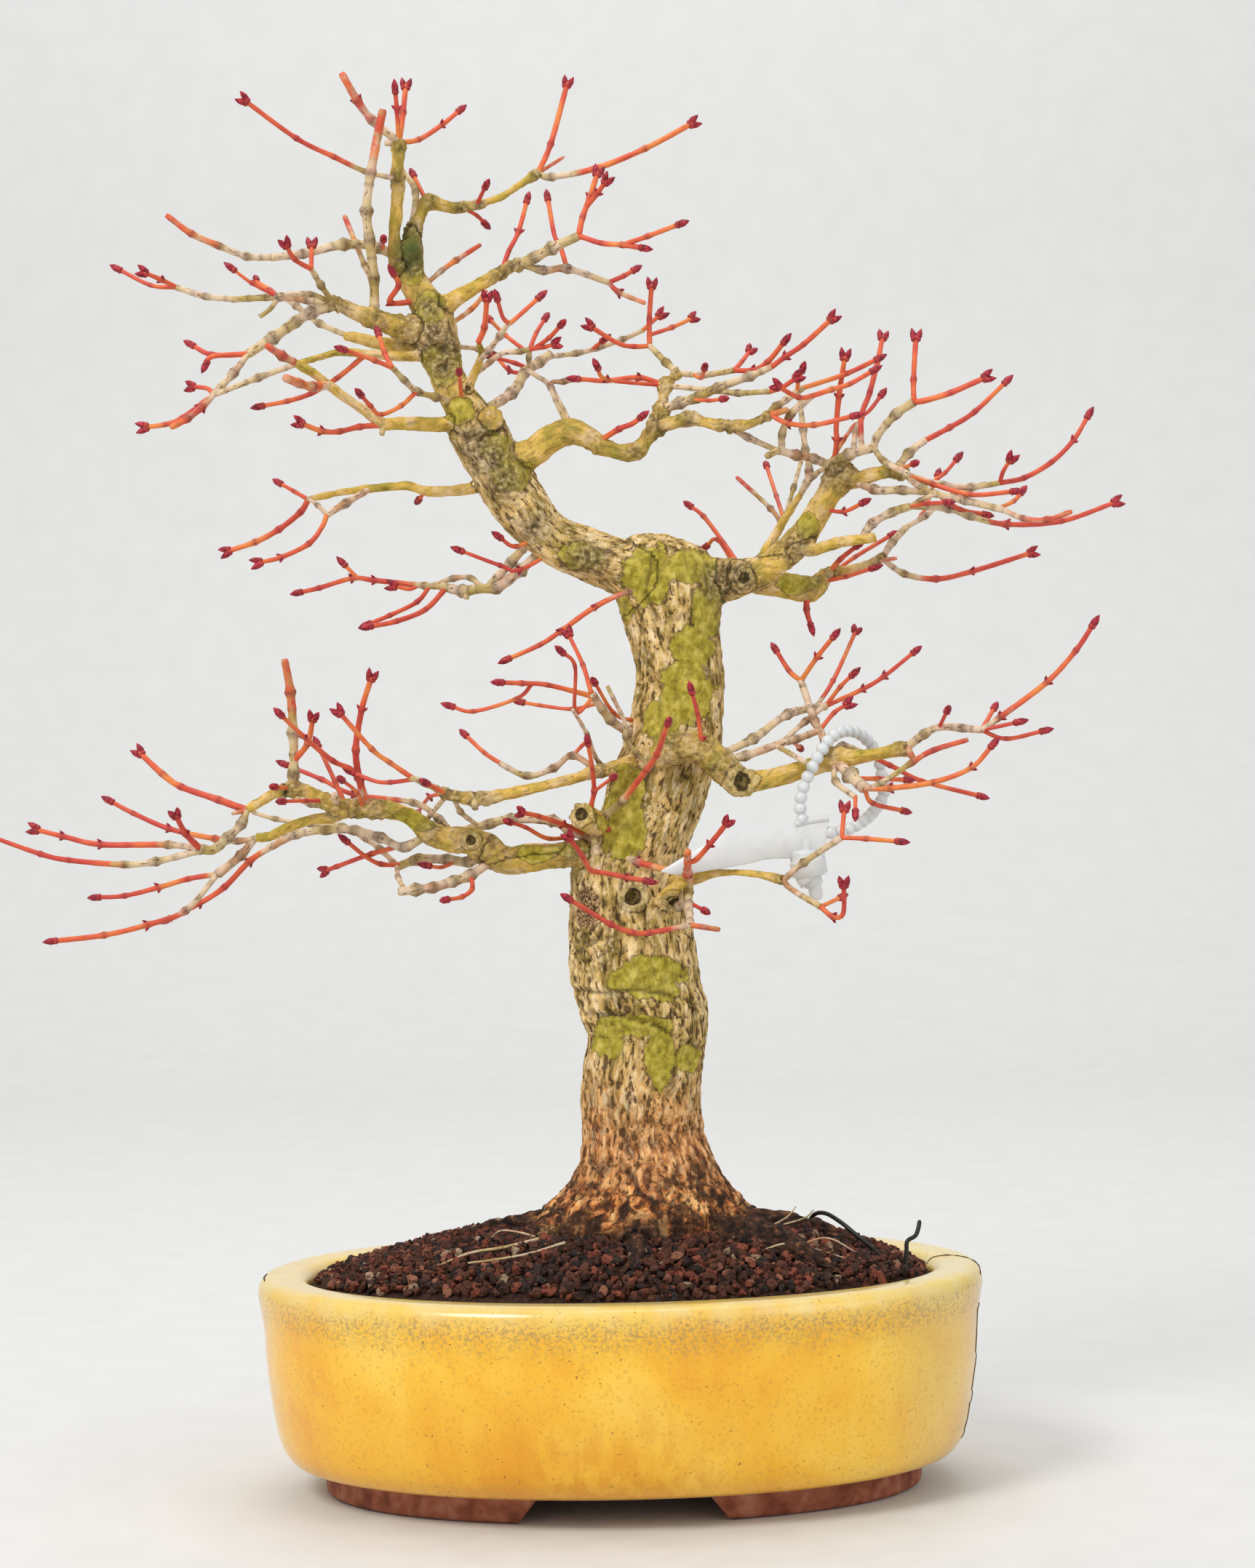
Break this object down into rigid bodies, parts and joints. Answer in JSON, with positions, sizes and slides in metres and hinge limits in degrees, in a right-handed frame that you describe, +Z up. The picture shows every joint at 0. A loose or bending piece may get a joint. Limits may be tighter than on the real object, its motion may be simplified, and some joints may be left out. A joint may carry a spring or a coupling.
{
  "type": "leafless Japanese maple bonsai in a pot",
  "caption": "Leafless Japanese maple bonsai with a thick trunk, winter twigs and buds, in an oval glazed pot of lava grit, with a blank hang label.",
  "frame": {"origin": "on the ground under the middle of the whole's bounding box, so the pot's middle is at x = 16.5 mm", "axes": "+X to the right along the pot's length as seen from the front, +Y to the back, +Z up the trunk"},
  "size_m": [0.3809, 0.18, 0.487],
  "materials": {
    "bark": "fissured tan and green bark, with smooth orange and red young shoots",
    "lava_grit": "loose dark brown and red-brown lava grains, matt",
    "yellow_glaze": "glossy amber-yellow glaze, with a bare terracotta foot",
    "dark_wire": "dark anodised aluminium wire",
    "white_plastic": "smooth white moulded plastic",
    "screen_plastic": "black plastic mesh"
  },
  "bodies": {
    "root": {"tree": "bark", "soil": "lava_grit", "pot": "yellow_glaze", "anchor_wire": "dark_wire", "label": "white_plastic", "drain_screen_left": "screen_plastic", "drain_screen_right": "screen_plastic"}
  },
  "joints": []
}
